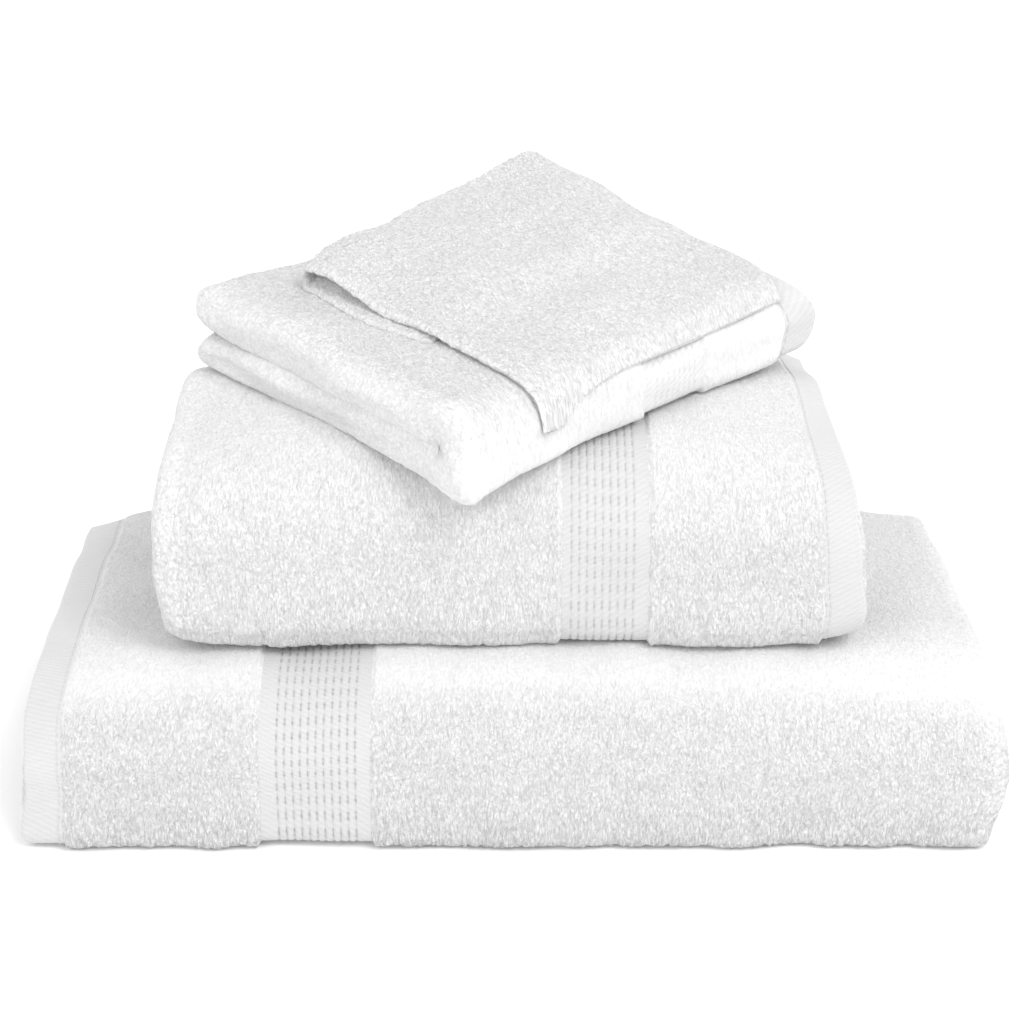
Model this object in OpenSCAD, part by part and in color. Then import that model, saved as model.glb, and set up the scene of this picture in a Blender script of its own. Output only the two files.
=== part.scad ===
// Folded bath towel set: a bath sheet, a bath towel, a hand towel and a washcloth, stacked.
// +X runs along the bath sheet towards its folded end, -Y is the front and +Z is up.
// The origin is the centre of the bath sheet's underside.

/* [Bath sheet] */
// Width of the folded bath sheet, from end hem to side fold
sheet_w = 450; // [400:1:500]
// Depth of the folded bath sheet, from front bend to back edges
sheet_d = 222; // [190:1:250]
// Height of the folded bath sheet
sheet_h = 80; // [64:1:96]
// Distance from the end hem's edge to the woven border
sheet_border_x = 109; // [90:1:140]
// Width of the woven border
sheet_border_w = 51; // [30:1:60]

/* [Bath towel] */
// Width of the folded bath towel, from side fold to end hem
towel_w = 326; // [290:1:360]
// Depth of the folded bath towel
towel_d = 176; // [140:1:190]
// Height of the folded bath towel at its front bend
towel_front_h = 91; // [70:1:100]
// How far the front bend stands back from the bath sheet's front bend
towel_setback = 44; // [20:1:60]
// Distance from the end hem's edge to the woven border
towel_border_x = 100; // [80:1:130]
// Width of the woven border
towel_border_w = 40; // [25:1:50]

/* [Hand towel] */
// Length of the hand towel's front bend
hand_w = 215; // [190:1:230]
// Depth of the folded hand towel, from front bend to back edges
hand_d = 198; // [170:1:210]
// Height of the folded hand towel
hand_h = 42; // [36:1:50]
// Turn of the hand towel on the stack, in degrees
hand_turn = 41.7; // [35:0.1:50]
// Forward lean of the hand towel, which the bath towel's top shares, in degrees
hand_lean = 4.6; // [0:0.1:8]
// Front corner's place from the middle of the bath sheet, to the right
hand_corner_x = -18.6; // [-40:0.1:10]
// Front corner's place behind the bath sheet's front bend
hand_corner_y = 21; // [10:0.1:40]
// Distance along the front bend from the corner to the woven border
hand_border_x = 110; // [90:1:130]
// Width of the woven border
hand_border_w = 38; // [20:1:45]

/* [Washcloth] */
// Width of the folded washcloth, along its fold
wash_w = 158; // [140:1:165]
// Depth of the upper leaf, from its front hem to the fold
wash_d = 170; // [150:1:180]
// Depth of the lower leaf, from its hem to the fold
wash_lower_d = 98; // [80:1:115]
// Thickness of one leaf
leaf_t = 5.4; // [4:0.1:7]
// Place of the front hem along the hand towel's front bend
wash_x = 39; // [25:1:45]
// How far the front hem hangs out past the hand towel's front bend
wash_overhang = 9; // [4:1:14]
// Turn of the washcloth on the hand towel, in degrees
wash_turn = 4; // [-3:0.1:6]

/* [Hems] */
// Width of an end hem on the three larger towels
hem_w = 18; // [12:1:24]
// Width of a washcloth hem
wash_hem_w = 8; // [5:1:10]
// How much lower a flat-woven zone lies than the terry pile
pile_step = 2.6; // [1:0.1:4]
// Width of a row of hem stitches
thread_w = 1.2; // [0.8:0.1:2]

/* [Hidden] */

terry_white = [0.95, 0.95, 0.94];
weave_white = [0.90, 0.90, 0.89];
thread_white = [0.84, 0.84, 0.83];

gap = 0.4;             // clearance between towels, and between a wrap and what it holds
arc_steps = 10;        // flats in a quarter bend
thread_depth = 1;      // depth of the groove that a row of stitches lies in
side_round = 11;       // rounding of a side fold
squareness = 6;        // how square the weight above presses the lower half of a bend; 2 is round
selvedge_step = 5;     // how far the inner selvedges stand back from the outer ones

lean_slope = tan(hand_lean);
sheet_y = -sheet_d / 2;                                  // front bend of the bath sheet
towel_y = sheet_y + towel_setback;                       // front bend of the bath towel
towel_back_h = towel_front_h + (towel_d - towel_front_h / 2) * lean_slope;
towel_z = sheet_h + gap;
hand_y = sheet_y + hand_corner_y;
hand_z = towel_z + towel_front_h + 2 * gap
       + (hand_y - towel_y - towel_front_h / 2) * lean_slope;
hand_layer = hand_h / 6;                                 // two stacks of three layers
hand_nose = hand_h / 4;                                  // radius of each stacked fold
leaf_z = hand_h + gap;                                   // underside of the lower leaf
fold_y = wash_d - leaf_t - gap;                          // hinge line of the washcloth's fold
fold_z = leaf_z + leaf_t + gap / 2;
fold_r = leaf_t + gap / 2;
leaf_start = fold_y - fold_r - gap;                      // where the upper leaf leaves the fold
lower_start = wash_d - wash_lower_d;
shoulder = wash_overhang + hand_h / 2;                   // where the leaf starts over the bend
hem_drop = 5;                                            // fall of the upper leaf at its front hem

// Points of an elliptical arc
function arc(cx, cy, rx, ry, a0, a1) =
    [for (k = [0 : arc_steps]) let (a = a0 + (a1 - a0) * k / arc_steps)
        [cx + rx * cos(a), cy + ry * sin(a)]];

// Lower half of a bend, pressed square, from the underside to the nose
function pressed(h, i) =
    [for (k = [0 : arc_steps]) let (a = 90 * k / arc_steps)
        [h / 2 - (h / 2 - i) * pow(sin(a), 2 / squareness), h / 2 - h / 2 * pow(cos(a), 2 / squareness)]];

// Half outline round the front bend, from the underside to the top, set in by i there
function bend(h, i) = concat(pressed(h, i), arc(h / 2, h / 2, h / 2 - i, h / 2 - i, 180, 90));

// Inner side of a wrap of thickness t, from the top to the underside
function cavity(h, t) = arc(h / 2, h / 2, h / 2 - t, h / 2 - t, 90, 270);

// Section of the outer wrap: top, front bend and underside, open at the back
module wrap_section(d, front_h, back_h, t, i, back_r) {
    polygon(concat(
        [[d - back_r, 0]], bend(front_h, i), [[d, back_h - i], [d, back_h - t]],
        cavity(front_h, t), [[d - back_r, t]]));
}

// Section of the folds inside the wrap, with their own front bend
module inner_section(d, front_h, back_h, t, back_r) {
    top = back_h - t - gap;
    polygon(concat(
        [[d - back_r, t + gap]],
        arc(front_h / 2, front_h / 2, front_h / 2 - t - gap, front_h / 2 - t - gap, 270, 90),
        [[d - selvedge_step, top], [d - selvedge_step, front_h / 2], [d - back_r, front_h / 2]]));
}

// Thin skin of the wrap, which a row of stitches fills
module thread_section(d, front_h, back_h, i, back_r) {
    wrap_section(d, front_h, back_h, i + thread_depth, i, back_r);
}

// Carries a section drawn in Y and Z along X from x0 to x1
module along_x(x0, x1) {
    translate([x0, 0, 0]) rotate([90, 0, 90]) linear_extrude(x1 - x0) children();
}

// Block with a rounded end at x1, which a side fold is cut to
module rounded_block(x0, x1, d, h, r) {
    intersection() {
        linear_extrude(h) polygon(concat(
            [[x0, 0]], arc(x1 - r, r, r, r, 270, 360), arc(x1 - r, d - r, r, r, 0, 90), [[x0, d]]));
        translate([0, d, 0]) rotate([90, 0, 0]) linear_extrude(d) polygon(concat(
            [[x0, 0]], arc(x1 - r, r, r, r, 270, 360), arc(x1 - r, h - r, r, r, 0, 90), [[x0, h]]));
    }
}

// A towel folded four times each way. Its end hem is at x = 0 and its side fold at x = w.
module quarter_hem(d, front_h, back_h) {
    difference() {
        along_x(0, hem_w) wrap_section(d, front_h, back_h, front_h / 4, pile_step, front_h / 4);
        along_x(hem_w - 2 * thread_w, hem_w - thread_w)
            thread_section(d, front_h, back_h, pile_step, front_h / 4);
    }
}
module quarter_thread(d, front_h, back_h) {
    along_x(hem_w - 2 * thread_w, hem_w - thread_w)
        thread_section(d, front_h, back_h, pile_step, front_h / 4);
}
module quarter_zone(x0, x1, d, front_h, back_h, i) {
    along_x(x0, x1) wrap_section(d, front_h, back_h, front_h / 4, i, front_h / 4);
}
module quarter_side_fold(x0, x1, d, front_h, back_h) {
    intersection() {
        quarter_zone(x0, x1, d, front_h, back_h, 0);
        rounded_block(x0, x1, d, back_h, side_round);
    }
}
module quarter_back_fold(w, d, front_h) {
    r = front_h / 4;
    along_x(0, w - selvedge_step) translate([d - r, r]) intersection() {
        circle(r = r, $fn = 48);
        translate([0, -r]) square([r, 2 * r]);
    }
}
module quarter_inner(w, d, front_h, back_h) {
    along_x(selvedge_step, w - selvedge_step)
        inner_section(d, front_h, back_h, front_h / 4, front_h / 4);
}

// Places of the four items
module sheet_place() translate([-sheet_w / 2, sheet_y, 0]) children();
module towel_place() translate([towel_w / 2, towel_y, towel_z]) mirror([1, 0, 0]) children();
module hand_place()
    translate([hand_corner_x, hand_y, hand_z]) rotate([hand_lean, 0, 0])
        rotate([0, 0, hand_turn]) children();
module wash_place()
    hand_place() translate([wash_x, -wash_overhang, 0]) rotate([0, 0, wash_turn]) children();

// Bath sheet
module bath_sheet_end_hem() {
    color(weave_white) sheet_place() quarter_hem(sheet_d, sheet_h, sheet_h);
}
module bath_sheet_hem_thread() {
    color(thread_white) sheet_place() quarter_thread(sheet_d, sheet_h, sheet_h);
}
module bath_sheet_end_terry() {
    color(terry_white) sheet_place()
        quarter_zone(hem_w, sheet_border_x, sheet_d, sheet_h, sheet_h, 0);
}
module bath_sheet_border() {
    color(weave_white) sheet_place()
        quarter_zone(sheet_border_x, sheet_border_x + sheet_border_w,
                     sheet_d, sheet_h, sheet_h, pile_step);
}
module bath_sheet_field() {
    color(terry_white) sheet_place()
        quarter_zone(sheet_border_x + sheet_border_w, sheet_w - 2 * side_round,
                     sheet_d, sheet_h, sheet_h, 0);
}
module bath_sheet_side_fold() {
    color(terry_white) sheet_place()
        quarter_side_fold(sheet_w - 2 * side_round, sheet_w, sheet_d, sheet_h, sheet_h);
}
module bath_sheet_back_fold() {
    color(terry_white) sheet_place() quarter_back_fold(sheet_w, sheet_d, sheet_h);
}
module bath_sheet_inner_folds() {
    color(terry_white) sheet_place() quarter_inner(sheet_w, sheet_d, sheet_h, sheet_h);
}

// Bath towel
module bath_towel_end_hem() {
    color(weave_white) towel_place() quarter_hem(towel_d, towel_front_h, towel_back_h);
}
module bath_towel_hem_thread() {
    color(thread_white) towel_place() quarter_thread(towel_d, towel_front_h, towel_back_h);
}
module bath_towel_end_terry() {
    color(terry_white) towel_place()
        quarter_zone(hem_w, towel_border_x, towel_d, towel_front_h, towel_back_h, 0);
}
module bath_towel_border() {
    color(weave_white) towel_place()
        quarter_zone(towel_border_x, towel_border_x + towel_border_w,
                     towel_d, towel_front_h, towel_back_h, pile_step);
}
module bath_towel_field() {
    color(terry_white) towel_place()
        quarter_zone(towel_border_x + towel_border_w, towel_w - 2 * side_round,
                     towel_d, towel_front_h, towel_back_h, 0);
}
module bath_towel_side_fold() {
    color(terry_white) towel_place()
        quarter_side_fold(towel_w - 2 * side_round, towel_w, towel_d, towel_front_h, towel_back_h);
}
module bath_towel_back_fold() {
    color(terry_white) towel_place() quarter_back_fold(towel_w, towel_d, towel_front_h);
}
module bath_towel_inner_folds() {
    color(terry_white) towel_place() quarter_inner(towel_w, towel_d, towel_front_h, towel_back_h);
}

// Hand towel, folded in three along its length and then in half. Its noses are at x = 0.
module hand_zone(x0, x1, i) {
    along_x(x0, x1) wrap_section(hand_d, hand_h, hand_h, hand_layer, i, 0);
}
module hand_hem_thread_ring() {
    along_x(hand_w - hem_w + thread_w, hand_w - hem_w + 2 * thread_w)
        thread_section(hand_d, hand_h, hand_h, pile_step / 2, 0);
}
module hand_nose_bar(z) {
    translate([hand_nose, 0, z]) rotate([-90, 0, 0])
        translate([0, 0, hand_h / 2]) linear_extrude(hand_d - hand_h / 2) intersection() {
            circle(r = hand_nose - gap / 4, $fn = 48);
            translate([-hand_nose, -hand_nose]) square([hand_nose, 2 * hand_nose]);
        }
}
// Inner layers of one half of the fold, rounded where the front bend holds them
module hand_stack() {
    r = hand_h / 2 - hand_layer - gap;
    along_x(hand_nose, hand_w - gap) polygon(concat(
        arc(hand_h / 2, gap / 2, r, r - gap / 2, 90, 180),
        [[hand_d - selvedge_step, gap / 2], [hand_d - selvedge_step, r]]));
}
module hand_towel_end_hem() {
    color(weave_white) hand_place() difference() {
        hand_zone(hand_w - hem_w, hand_w, pile_step / 2);
        hand_hem_thread_ring();
    }
}
module hand_towel_hem_thread() {
    color(thread_white) hand_place() hand_hem_thread_ring();
}
module hand_towel_end_terry() {
    color(terry_white) hand_place() hand_zone(hand_border_x + hand_border_w, hand_w - hem_w, 0);
}
module hand_towel_border() {
    color(weave_white) hand_place()
        hand_zone(hand_border_x, hand_border_x + hand_border_w, pile_step / 2);
}
module hand_towel_field() {
    color(terry_white) hand_place() hand_zone(hand_nose, hand_border_x, 0);
}
module hand_towel_upper_nose() {
    color(terry_white) hand_place() hand_nose_bar(3 * hand_nose);
}
module hand_towel_lower_nose() {
    color(terry_white) hand_place() hand_nose_bar(hand_nose);
}
module hand_towel_upper_folds() {
    color(terry_white) hand_place() translate([0, 0, hand_h / 2]) hand_stack();
}
module hand_towel_lower_folds() {
    color(terry_white) hand_place() translate([0, 0, hand_h / 2]) mirror([0, 0, 1]) hand_stack();
}

// Washcloth, folded once. Its front hem is at y = 0 and its fold at y = wash_d.
// Heights of the upper leaf's underside, from the front hem to the fold
function upper_path() = [
    [0, leaf_z - hem_drop], [wash_hem_w, leaf_z - hem_drop / 2],
    [2 * wash_hem_w, leaf_z], [shoulder - wash_hem_w, leaf_z],
    [lower_start - 2 * leaf_t, leaf_z], [lower_start - 2 * gap, fold_z + gap / 2],
    [leaf_start, fold_z + gap / 2]];
// Closed outline of a leaf that lies on the path between y0 and y1
module leaf_section(path, y0, y1) {
    part = [for (p = path) if (p[0] >= y0 && p[0] <= y1) p];
    back = [for (k = [len(part) - 1 : -1 : 0]) part[k] + [0, leaf_t]];
    polygon(concat(part, back));
}
module upper_hem_thread_bar() {
    slope = hem_drop / 2 / wash_hem_w;
    y = wash_hem_w - 2 * thread_w;
    z = leaf_z - hem_drop + slope * y + leaf_t;
    along_x(0, wash_w) polygon([
        [y, z - thread_depth], [y + thread_w, z - thread_depth + slope * thread_w],
        [y + thread_w, z + slope * thread_w], [y, z]]);
}
module washcloth_lower_leaf() {
    color(terry_white) wash_place() translate([0, lower_start + wash_hem_w, leaf_z])
        cube([wash_w, fold_y - lower_start - wash_hem_w, leaf_t]);
}
module washcloth_lower_hem() {
    color(weave_white) wash_place() translate([0, lower_start, leaf_z])
        cube([wash_w, wash_hem_w, leaf_t]);
}
module washcloth_fold() {
    color(terry_white) wash_place() along_x(0, wash_w) translate([fold_y, fold_z]) intersection() {
        circle(r = fold_r, $fn = 48);
        translate([0, -fold_r]) square([fold_r, 2 * fold_r]);
    }
}
module washcloth_upper_leaf() {
    color(terry_white) wash_place()
        along_x(0, wash_w) leaf_section(upper_path(), wash_hem_w, leaf_start);
}
module washcloth_upper_hem() {
    color(weave_white) wash_place() difference() {
        along_x(0, wash_w) leaf_section(upper_path(), 0, wash_hem_w);
        upper_hem_thread_bar();
    }
}
module washcloth_hem_thread() {
    color(thread_white) wash_place() upper_hem_thread_bar();
}

bath_sheet_end_hem();
bath_sheet_hem_thread();
bath_sheet_end_terry();
bath_sheet_border();
bath_sheet_field();
bath_sheet_side_fold();
bath_sheet_back_fold();
bath_sheet_inner_folds();
bath_towel_end_hem();
bath_towel_hem_thread();
bath_towel_end_terry();
bath_towel_border();
bath_towel_field();
bath_towel_side_fold();
bath_towel_back_fold();
bath_towel_inner_folds();
hand_towel_end_hem();
hand_towel_hem_thread();
hand_towel_end_terry();
hand_towel_border();
hand_towel_field();
hand_towel_upper_nose();
hand_towel_lower_nose();
hand_towel_upper_folds();
hand_towel_lower_folds();
washcloth_lower_leaf();
washcloth_lower_hem();
washcloth_fold();
washcloth_upper_leaf();
washcloth_upper_hem();
washcloth_hem_thread();
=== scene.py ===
"""Folded bath towel set: four terry cloths folded from their flat sizes, on a pale floor in soft light."""
import math

import bpy
import numpy as np
from mathutils import Matrix, Vector


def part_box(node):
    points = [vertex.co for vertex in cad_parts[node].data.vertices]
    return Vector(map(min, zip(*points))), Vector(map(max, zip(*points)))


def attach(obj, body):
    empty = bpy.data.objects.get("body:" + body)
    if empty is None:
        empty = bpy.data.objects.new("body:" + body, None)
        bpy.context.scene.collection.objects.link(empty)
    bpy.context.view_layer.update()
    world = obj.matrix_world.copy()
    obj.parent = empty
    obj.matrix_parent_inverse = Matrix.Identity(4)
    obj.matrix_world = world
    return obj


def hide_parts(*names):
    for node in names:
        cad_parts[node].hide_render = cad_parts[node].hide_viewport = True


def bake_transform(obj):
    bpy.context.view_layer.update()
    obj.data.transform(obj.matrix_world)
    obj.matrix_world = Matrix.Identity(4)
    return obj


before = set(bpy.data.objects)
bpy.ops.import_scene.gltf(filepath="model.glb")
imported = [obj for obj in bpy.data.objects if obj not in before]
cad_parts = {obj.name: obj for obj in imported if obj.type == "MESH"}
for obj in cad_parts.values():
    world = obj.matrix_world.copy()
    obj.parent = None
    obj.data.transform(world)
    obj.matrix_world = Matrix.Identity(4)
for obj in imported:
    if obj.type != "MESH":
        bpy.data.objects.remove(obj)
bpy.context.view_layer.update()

MM = 0.001

# Camera for a square frame, in metres and degrees
CAMERA_BEFORE_NOSE = 0.947
CAMERA_HEIGHT = 0.605
CAMERA_PITCH = 24.5
LENS_MM = 84.375
SENSOR_MM = 36

# Mesh spacing in mm: visible pile, weave, places seen at a slant, hidden folds
FINE = 1.15
WEAVE = 0.45
MEDIUM = 3.0
COARSE = 14.0

# Past the far end of any cloth, in mm
END = 1e6

# Width of the larger towels' end hems, and how far their stitches lie inside the edge of the pile, in mm
TOWEL_HEM = 18
STITCH_INSET = 1.8

# Depth of the flat hem and of the border below the top of the pile, in mm
HEM_DROP = 1.3
BORDER_DROP = 1.7


# ---------------------------------------------------------------- small functions

def smooth(x):
    x = np.clip(x, 0, 1)
    return x * x * (3 - 2 * x)


def bump(x, width):
    return np.exp(-((x / width) ** 2))


class Relief:
    """Repeating random relief from seeded noise, filtered to a band of wavelengths in mm."""

    def __init__(self, seed, across, along, step=0.7, size=512):
        self.step, self.size = step, size
        white = np.random.default_rng(seed).standard_normal((size, size))
        f = np.fft.fftfreq(size, step)
        fs, ft = np.meshgrid(f, f, indexing="ij")
        r = np.sqrt((fs * across) ** 2 + (ft * along) ** 2)
        field = np.fft.ifft2(np.fft.fft2(white) * r**2 * np.exp(-(r**2))).real
        self.field = field / field.std()

    def at(self, s, t):
        """Values at cloth positions in mm, by linear interpolation."""
        u, v = np.broadcast_arrays(np.asarray(s) / self.step, np.asarray(t) / self.step)
        i, j = np.floor(u).astype(int), np.floor(v).astype(int)
        a, b = u - i, v - j
        n, g = self.size, self.field
        return (
            g[i % n, j % n] * (1 - a) * (1 - b) + g[(i + 1) % n, j % n] * a * (1 - b)
            + g[i % n, (j + 1) % n] * (1 - a) * b + g[(i + 1) % n, (j + 1) % n] * a * b
        )


# Reading these at other offsets keeps one cloth's relief unlike another's
LOOPS = Relief(11, across=1.8, along=2.8)
CLUMPS = Relief(12, across=4.5, along=9)
ROLLS = Relief(13, across=26, along=40, step=4)
WAVES = Relief(14, across=70, along=90, step=8)


def press(depth, height, radius, below, above):
    """Squares a round bend. Depth is behind its nose and height is from its centre; 2 leaves it round."""
    ahead = radius - depth
    r = np.maximum(np.hypot(ahead, height), 1e-6)
    c, s = np.abs(ahead) / r, np.abs(height) / r
    n = 2 + (np.where(height < 0, below, above) - 2) * np.clip(r / radius, 0, 1)
    k = np.where(ahead > 0, (c**n + s**n) ** (-1 / n), 1)
    return np.where(ahead > 0, radius - ahead * k, depth), height * k


def slump(depth, radius, reach):
    """Share of its height that a bend keeps when its top slopes down over the given reach to the nose."""
    y = np.clip(depth, 0.05, reach)
    full = np.sqrt(np.maximum(radius**2 - np.maximum(radius - y, 0) ** 2, 0.01))
    return radius * np.sqrt(1 - (1 - y / reach) ** 2) / full


# ---------------------------------------------------------------- folding

def trace(start, heading, moves, side):
    """Walks a plane curve: ("go", length, step) or ("turn", radius, degrees, step), left turns positive.
    Returns points, unit normals on the given side (+1 left, -1 right) and running lengths."""
    p = np.array(start, float)
    h = math.radians(heading)
    points, angles, run = [p.copy()], [h], [0.0]
    for move in moves:
        if move[0] == "go":
            n = max(1, round(move[1] / move[2]))
            for _ in range(n):
                p = p + move[1] / n * np.array([math.cos(h), math.sin(h)])
                points.append(p.copy())
                angles.append(h)
                run.append(run[-1] + move[1] / n)
            continue
        radius, turn = move[1], math.radians(move[2])
        way = math.copysign(1, turn)
        centre = p + way * radius * np.array([-math.sin(h), math.cos(h)])
        n = max(8, round(abs(turn) * radius / move[3]))
        for k in range(1, n + 1):
            a = h + turn * k / n
            points.append(centre + way * radius * np.array([math.sin(a), -math.cos(a)]))
            angles.append(a)
            run.append(run[-1] + abs(turn) * radius / n)
        p, h = points[-1].copy(), h + turn
    a = np.array(angles)
    return np.array(points), side * np.stack([-np.sin(a), np.cos(a)], 1), np.array(run)


def zones(marks, end):
    """Moves along a first layer, with close spacing at its weave and at the edges of the pile."""
    hem, a, b = marks
    edge = 3
    return [
        ("go", hem, 0.7), ("go", edge, 0.5), ("go", a - hem - 2 * edge, FINE), ("go", edge, 0.5),
        ("go", b - a, WEAVE), ("go", edge, 0.5), ("go", end - b - edge, FINE),
    ]


class Cloth:
    """A cloth folded along its length by strip, in X and depth, and across its width by path, in Y and Z."""

    def __init__(self, strip, path, weave, square, warp, place):
        self.q, self.nq, self.s = strip
        self.p, self.np, self.t = path
        self.weave, self.square, self.warp, self.place = weave, square, warp, place

    def locate(self, s, t, height):
        """Places in the shared frame, in metres, of cloth positions and heights off the cloth's middle."""
        q = [np.interp(s, self.s, c) for c in (*self.q.T, *self.nq.T)]
        p = [np.interp(t, self.t, c) for c in (*self.p.T, *self.np.T)]
        x, depth = self.square(q[0] + height * q[2], q[1] + height * q[3], s, t)
        y, z = p[0] + p[2] * depth, p[1] + p[3] * depth
        points = np.stack(self.warp(x, y, z, s, t), -1).reshape(-1, 3)
        return self.place(points) * MM

    def piece(self, name, s0, s1, t0=-1.0, t1=END):
        """Closed mesh of the stretch from s0 to s1 along the length and t0 to t1 across it."""
        i = np.flatnonzero((self.s > s0 - 1e-4) & (self.s < s1 + 1e-4))
        j = np.flatnonzero((self.t > t0 - 1e-4) & (self.t < t1 + 1e-4))
        s, t = np.meshgrid(self.s[i], self.t[j], indexing="ij")
        points = np.concatenate([self.locate(s, t, h) for h in self.weave.faces(s, t)])
        ni, nj = len(i), len(j)
        top = np.arange(ni * nj).reshape(ni, nj)
        low = top + ni * nj
        faces = [
            rows(top[:-1, :-1], top[1:, :-1], top[1:, 1:], top[:-1, 1:]),
            rows(low[:-1, :-1], low[:-1, 1:], low[1:, 1:], low[1:, :-1]),
            rows(top[0, :-1], top[0, 1:], low[0, 1:], low[0, :-1]),
            rows(top[-1, :-1], low[-1, :-1], low[-1, 1:], top[-1, 1:]),
            rows(top[:-1, 0], low[:-1, 0], low[1:, 0], top[1:, 0]),
            rows(top[:-1, -1], top[1:, -1], low[1:, -1], low[:-1, -1]),
        ]
        st = np.stack([s, t], -1).reshape(-1, 2) * MM
        quads = np.concatenate(faces)
        # How open the pile is; it scales the relief and the terry material paints light and crevice shade
        # with it
        openness_and_painted_light = np.broadcast_to(self.weave.openness_and_painted_light(s, t), s.shape).ravel()
        cloth = new_mesh(name, points, quads, 2 * len(faces[0]), np.concatenate([st, st]))
        layer = cloth.data.attributes.new("Openness_and_painted_light", "FLOAT", "POINT")
        layer.data.foreach_set("value", np.tile(openness_and_painted_light, 2).astype(np.float32))
        return cloth


def rows(a, b, c, d):
    return np.stack([a.ravel(), b.ravel(), c.ravel(), d.ravel()], 1)


def new_mesh(name, points, quads, smooth_count, cloth_uv):
    """Mesh object from arrays, its faces turned outwards, with the cloth's own coordinates as a UV map.
    The edges where smooth faces meet flat ones are sharp."""
    a, b, c, d = (points[quads[:, k]] for k in range(4))
    volume = np.einsum("ij,ij->", a, np.cross(b, c)) + np.einsum("ij,ij->", a, np.cross(c, d))
    if volume < 0:
        quads = quads[:, ::-1]
    quads = np.ascontiguousarray(quads)
    mesh = bpy.data.meshes.new(name)
    mesh.vertices.add(len(points))
    mesh.vertices.foreach_set("co", points.astype(np.float32).ravel())
    mesh.loops.add(quads.size)
    mesh.loops.foreach_set("vertex_index", quads.astype(np.int32).ravel())
    mesh.polygons.add(len(quads))
    mesh.polygons.foreach_set("loop_start", np.arange(0, quads.size, 4, dtype=np.int32))
    mesh.polygons.foreach_set("use_smooth", np.arange(len(quads)) < smooth_count)
    mesh.update(calc_edges=True)
    layer = mesh.uv_layers.new(name="Cloth")
    layer.data.foreach_set("uv", cloth_uv[quads.ravel()].astype(np.float32).ravel())
    edge = np.empty(quads.size, np.int32)
    mesh.loops.foreach_get("edge_index", edge)
    smooth_sides = np.bincount(edge, np.repeat(np.arange(len(quads)) < smooth_count, 4))
    mesh.edges.foreach_set("use_edge_sharp", smooth_sides == 1)
    mesh.validate()
    piece = bpy.data.objects.new(name, mesh)
    bpy.context.collection.objects.link(piece)
    return piece


# ---------------------------------------------------------------- weave

RIB_PITCH = 3.6
DASH_PITCH = 5.6
DASH_SHARE = 0.54


class Weave:
    """Heights of a towel's two faces about its middle, in mm, by zone along its length.
    Ribs is the number of furrows in the border and lead the distance of the first from its edge.
    A crease is the direction that it runs along, its place across that and its depth."""

    def __init__(self, length, width, hem, border, pile, ribs, lead, openness_and_painted_light, creases=()):
        self.length, self.width, self.hem, self.border = length, width, hem, border
        self.pile, self.ribs, self.lead, self.creases = pile, ribs, lead, creases
        self.openness_and_painted_light = openness_and_painted_light
        self.hem_top, self.border_top = pile - HEM_DROP, pile - BORDER_DROP

    def terry(self, s):
        """1 in the pile and 0 in the hems and borders."""
        s = np.minimum(s, self.length - s)
        a, b = self.border
        roll = 2.2
        return smooth((s - self.hem) / roll) * (1 - smooth((s - a) / roll + 1)) + smooth((s - b) / roll)

    def rib(self, s, t):
        """Furrows across the border, each with a row of deeper dashes."""
        u = (s - self.border[0] - self.lead) / RIB_PITCH
        line = np.round(u)
        inside = (line >= 0) & (line < self.ribs)
        furrow = bump((u - line) * RIB_PITCH, 0.6)
        turn = t / DASH_PITCH % 1
        dash = smooth(turn / 0.15) * (1 - smooth((turn - DASH_SHARE) / 0.15))
        return np.where(inside, furrow * (0.3 + 0.35 * dash), 0)

    def faces(self, s, t):
        terry = self.terry(s)
        side = np.minimum(t, self.width - t)
        end = np.minimum(s, self.length - s)
        edge = np.sqrt(np.clip(side / 1.5, 0.02, 1)) * np.sqrt(np.clip(end / 1.2, 0.02, 1))
        soft = terry * (0.55 + 0.45 * smooth(side / 6))
        flat = np.where(end < (self.hem + self.border[0]) / 2, self.hem_top, self.border_top)
        relief = 0.16 * CLUMPS.at(s, t) + 0.2 * ROLLS.at(s, t) + 0.16 * LOOPS.at(s, t)
        relief = relief * np.clip(self.openness_and_painted_light(s, t), 0.3, 1.1)
        for along, place, reach in self.creases:
            across = (t if along == "s" else s) - place
            relief = relief - reach * bump(across, 1.6)
        outer = flat + (self.pile - flat) * soft + relief * soft - self.rib(s, t)
        outer = outer + 0.05 * LOOPS.at(s, t) * (1 - soft)
        inner = -flat - (self.pile - flat) * soft
        return outer * edge, inner * edge


# ---------------------------------------------------------------- the four cloths

def to_world(origin, lean=0.0, turn=0.0):
    """Carries points in mm from an item's own frame to the shared frame, in mm."""
    m = np.array(Matrix.Rotation(math.radians(lean), 3, "X") @ Matrix.Rotation(math.radians(turn), 3, "Z"))
    return lambda points: points @ m.T + np.array(origin)


def box_mm(*nodes):
    """Lowest and highest corners of CAD nodes, in mm."""
    low = np.min([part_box(n)[0] for n in nodes], axis=0) / MM
    high = np.max([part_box(n)[1] for n in nodes], axis=0) / MM
    return np.array(low), np.array(high)


def uneven_back(y, d, s, reach, offset):
    """Moves each layer of a folded back in or out by its own amount. Offset picks other waves."""
    return y + smooth((y - d + 30) / 30) * reach * WAVES.at(s * 2.2, offset + 0 * s)


def uneven_sides(x, w, y, z, offset):
    """Moves the layers seen at the two sides a little in or out."""
    return x + 0.7 * np.exp(-np.minimum(x, w - x) / 25) * WAVES.at(y, z * 2 + offset)


def squared_side(w, pitch, above):
    """Fills out a folded side at X = w, whose bend takes in four layers."""
    def square(x, depth, s, t):
        behind, depth = press(w - x, depth, 2 * pitch, below=2.5, above=above)
        return w - behind, depth
    return square


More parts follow.
